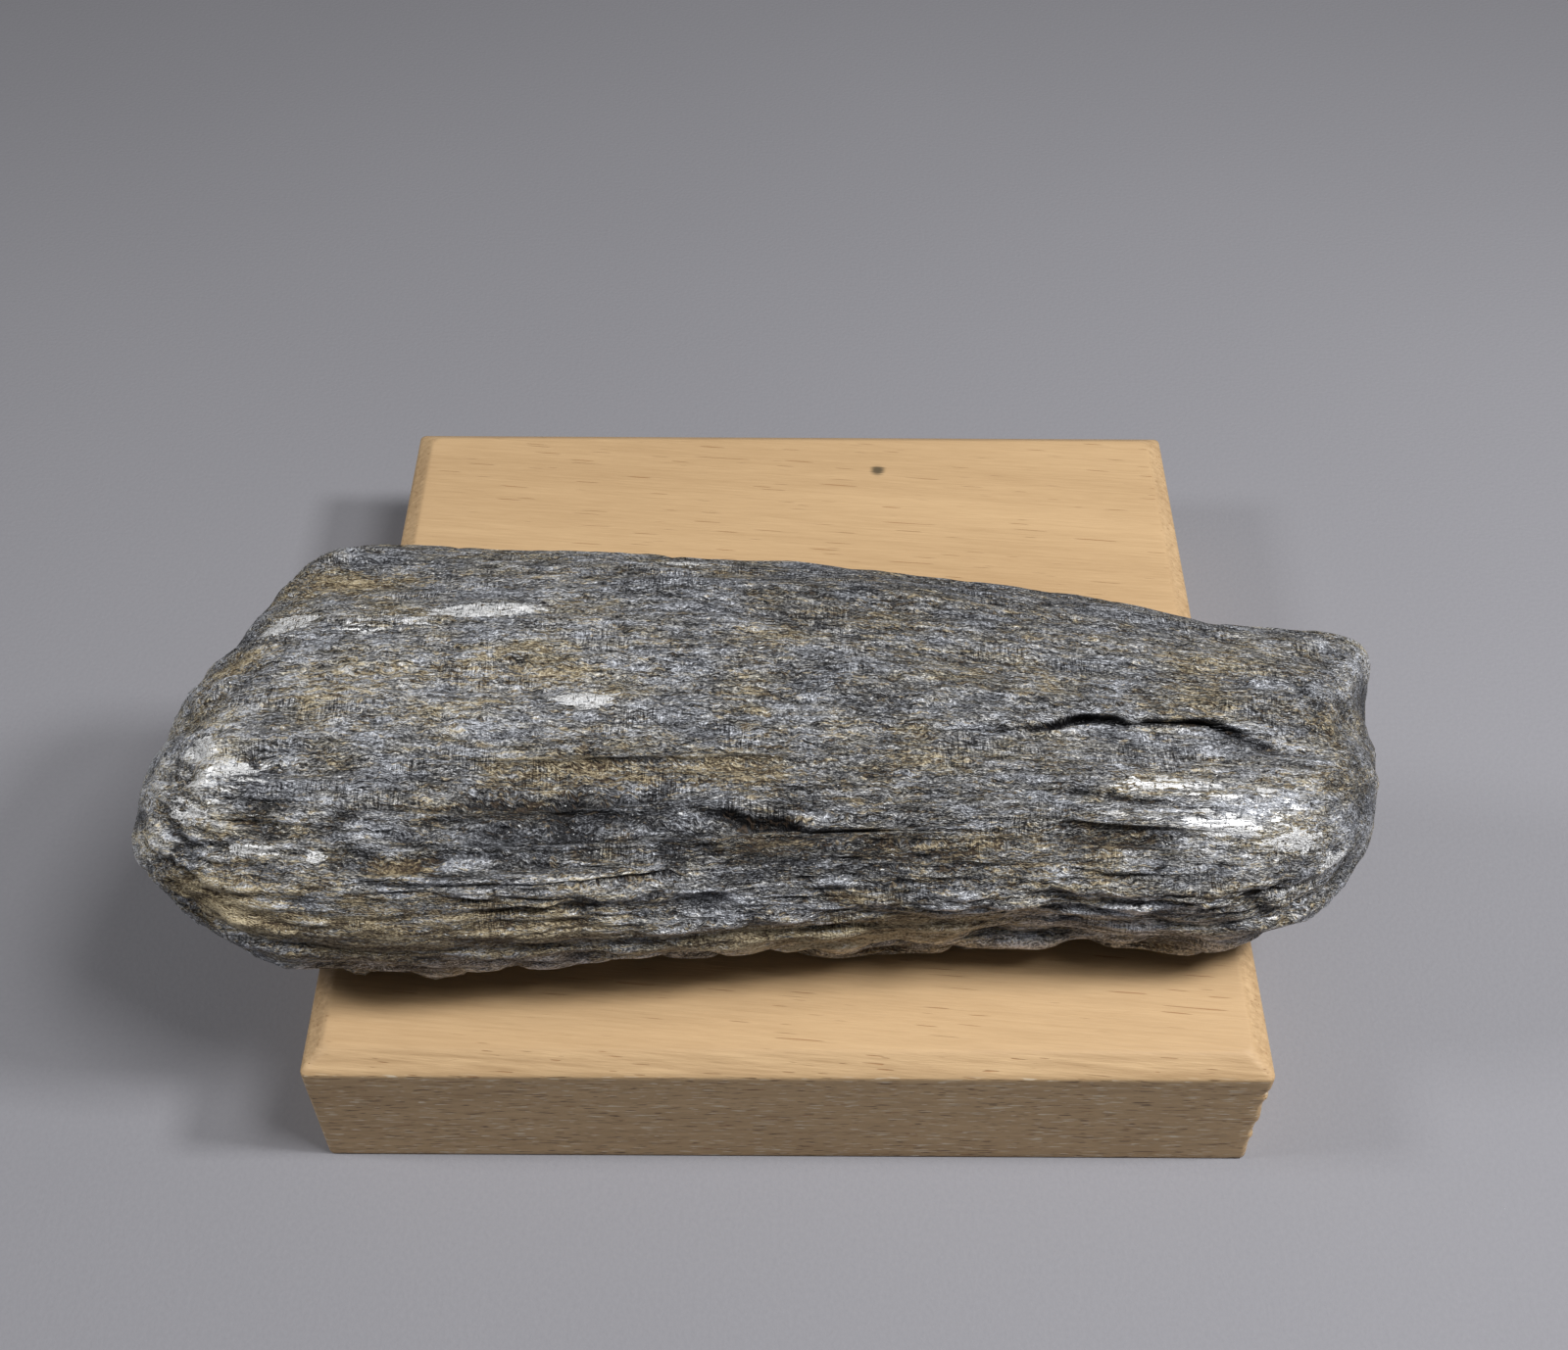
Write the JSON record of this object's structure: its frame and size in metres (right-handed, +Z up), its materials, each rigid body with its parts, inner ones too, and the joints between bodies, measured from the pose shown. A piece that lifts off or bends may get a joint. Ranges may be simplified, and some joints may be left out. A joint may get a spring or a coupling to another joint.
{
  "type": "stibnite hand specimen on a wooden block",
  "caption": "Long bladed mass of metallic grey stibnite lying across a square bevelled hardwood display block.",
  "frame": {"origin": "centre of the block's underside", "axes": "+X along the stone and the block's front edge, +Y to the back, +Z up"},
  "size_m": [0.1285, 0.097, 0.0484],
  "materials": {
    "hardwood": "bare planed pale hardwood, satin",
    "stibnite": "splintery metallic grey cleavage with dull tarnish and ochre oxide"
  },
  "bodies": {
    "root": {"wood_block": "hardwood", "stibnite_mass": "stibnite"}
  },
  "joints": []
}
